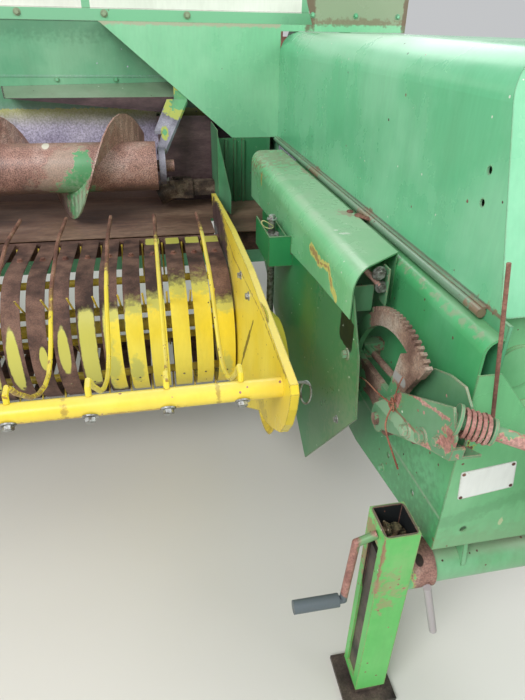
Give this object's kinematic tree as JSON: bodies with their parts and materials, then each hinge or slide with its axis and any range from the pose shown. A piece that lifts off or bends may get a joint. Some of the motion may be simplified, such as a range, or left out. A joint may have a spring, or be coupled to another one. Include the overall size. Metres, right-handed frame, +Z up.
{
  "type": "small square baler",
  "caption": "Towed small square baler with side pickup, cross auger, wind guard, twine box, tongue, driveline and parking jack.",
  "frame": {"origin": "middle of the footprint on the ground, under the centre of the overall box", "axes": "+Y towards the rear of the machine, +X to its left side as it travels, +Z up"},
  "size_m": [2.65, 5.6549, 1.684],
  "materials": {
    "hood_green": "satin",
    "case_green": "satin",
    "deep_green": "satin",
    "jack_green": "satin",
    "yellow": "satin",
    "rusty_steel": "matt",
    "worn_steel": "satin",
    "tyre_black": "matt",
    "white_paint": "satin"
  },
  "bodies": {
    "frame": {"case_side_left": "case_green", "case_side_right": "case_green", "case_floor": "worn_steel", "case_roof": "case_green", "skirt_left": "case_green", "skirt_right": "case_green", "front_sheet": "case_green", "hood": "hood_green", "hood_end_panel": "hood_green", "drive_block": "deep_green", "feeder_floor": "rusty_steel", "feeder_back": "case_green", "feeder_end": "case_green", "feeder_housing": "deep_green", "auger_arm": "deep_green", "auger_drive": "rusty_steel", "deflector": "rusty_steel", "twine_box": "white_paint", "lid_lugs": "worn_steel", "drive_shield": "hood_green", "shield_plate": "deep_green", "float_rod": "worn_steel", "lift_quadrant": "rusty_steel", "front_frame": "case_green", "jack_tube": "jack_green", "crank": "worn_steel", "collar": "rusty_steel", "axle": "case_green", "knotter_stack": "deep_green", "tension_screws": "rusty_steel"},
    "auger": {"auger": "rusty_steel"},
    "lid": {"twine_lid": "case_green"},
    "lift_lever": {"lift_lever": "case_green", "lever_spring": "rusty_steel"},
    "jack_leg": {"jack_leg": "worn_steel"},
    "tongue": {"tongue": "case_green", "pto_stand": "case_green"},
    "driveline": {"pto_shaft": "yellow"},
    "flywheel": {"flywheel": "deep_green"},
    "wheel_left": {"tyre_left": "tyre_black", "rim_left": "yellow"},
    "wheel_right": {"tyre_right": "tyre_black", "rim_right": "yellow"},
    "pickup": {"pickup_end_left": "yellow", "pickup_end_right": "yellow", "strippers": "rusty_steel", "gauge_arm": "yellow"},
    "reel": {"tine_reel": "rusty_steel"},
    "wind_guard": {"guard_tube": "yellow", "guard_rods": "yellow"},
    "gauge_wheel": {"gauge_wheel": "tyre_black"},
    "needles": {"needle_yoke": "case_green"},
    "top_rails": {"top_rails": "case_green"},
    "star_wheel": {"star_wheel": "yellow"},
    "chute": {"chute": "case_green"}
  },
  "joints": [
    {"name": "wheel_left_spin", "type": "hinge", "parent": "frame", "child": "wheel_left", "pos_m": [1.21, 0.6675, 0.35], "axis": [1, 0, 0], "continuous": true},
    {"name": "wheel_right_spin", "type": "hinge", "parent": "frame", "child": "wheel_right", "pos_m": [-1.21, 0.6675, 0.35], "axis": [1, 0, 0], "continuous": true},
    {"name": "auger_spin", "type": "hinge", "parent": "frame", "child": "auger", "pos_m": [-0.505, 0.1105, 0.895], "axis": [1, 0, 0], "continuous": true},
    {"name": "pickup_lift", "type": "hinge", "parent": "frame", "child": "pickup", "pos_m": [-0.468, -0.0825, 0.64], "axis": [1, 0, 0], "range_deg": [0, 14]},
    {"name": "reel_spin", "type": "hinge", "parent": "pickup", "child": "reel", "pos_m": [-0.468, -0.3425, 0.51], "axis": [1, 0, 0], "continuous": true},
    {"name": "guard_tilt", "type": "hinge", "parent": "pickup", "child": "wind_guard", "pos_m": [-0.468, -1.0825, 0.748], "axis": [1, 0, 0], "range_deg": [0, 40]},
    {"name": "gauge_wheel_spin", "type": "hinge", "parent": "pickup", "child": "gauge_wheel", "pos_m": [-1.273, -0.3025, 0.2], "axis": [1, 0, 0], "continuous": true},
    {"name": "tongue_swing", "type": "hinge", "parent": "frame", "child": "tongue", "pos_m": [0.855, -1.6225, 0.387], "axis": [0, 0, 1], "range_deg": [-20, 20]},
    {"name": "driveline_spin", "type": "hinge", "parent": "tongue", "child": "driveline", "pos_m": [0.855, -1.6325, 0.71], "axis": [0, 0.9946, 0.1038], "continuous": true},
    {"name": "flywheel_spin", "type": "hinge", "parent": "frame", "child": "flywheel", "pos_m": [0.855, -1.5125, 0.71], "axis": [0, 1, 0], "continuous": true},
    {"name": "jack_leg_slide", "type": "slide", "parent": "frame", "child": "jack_leg", "axis": [0, 0, 1], "range_m": [-0.3, 0.02]},
    {"name": "lid_hinge", "type": "hinge", "parent": "frame", "child": "lid", "pos_m": [-0.105, 0.8285, 1.65], "axis": [1, 0, 0], "range_deg": [-100, 0]},
    {"name": "needle_swing", "type": "hinge", "parent": "frame", "child": "needles", "pos_m": [0.795, 1.0175, 0.892], "axis": [1, 0, 0], "range_deg": [-58, 0]},
    {"name": "rails_tilt", "type": "hinge", "parent": "frame", "child": "top_rails", "pos_m": [0.795, 1.3075, 1.102], "axis": [1, 0, 0], "range_deg": [-3, 0]},
    {"name": "star_spin", "type": "hinge", "parent": "top_rails", "child": "star_wheel", "pos_m": [0.795, 1.6175, 1.165], "axis": [1, 0, 0], "continuous": true},
    {"name": "chute_fold", "type": "hinge", "parent": "frame", "child": "chute", "pos_m": [0.795, 2.3495, 0.7], "axis": [1, 0, 0], "range_deg": [0, 90]},
    {"name": "lift_lever_swing", "type": "hinge", "parent": "frame", "child": "lift_lever", "pos_m": [0.48, -1.1235, 0.681], "axis": [1, 0, 0], "range_deg": [-20, 0]}
  ],
  "couplings": [
    {"joint": "driveline_spin", "follows": "flywheel_spin", "ratio": 1}
  ]
}
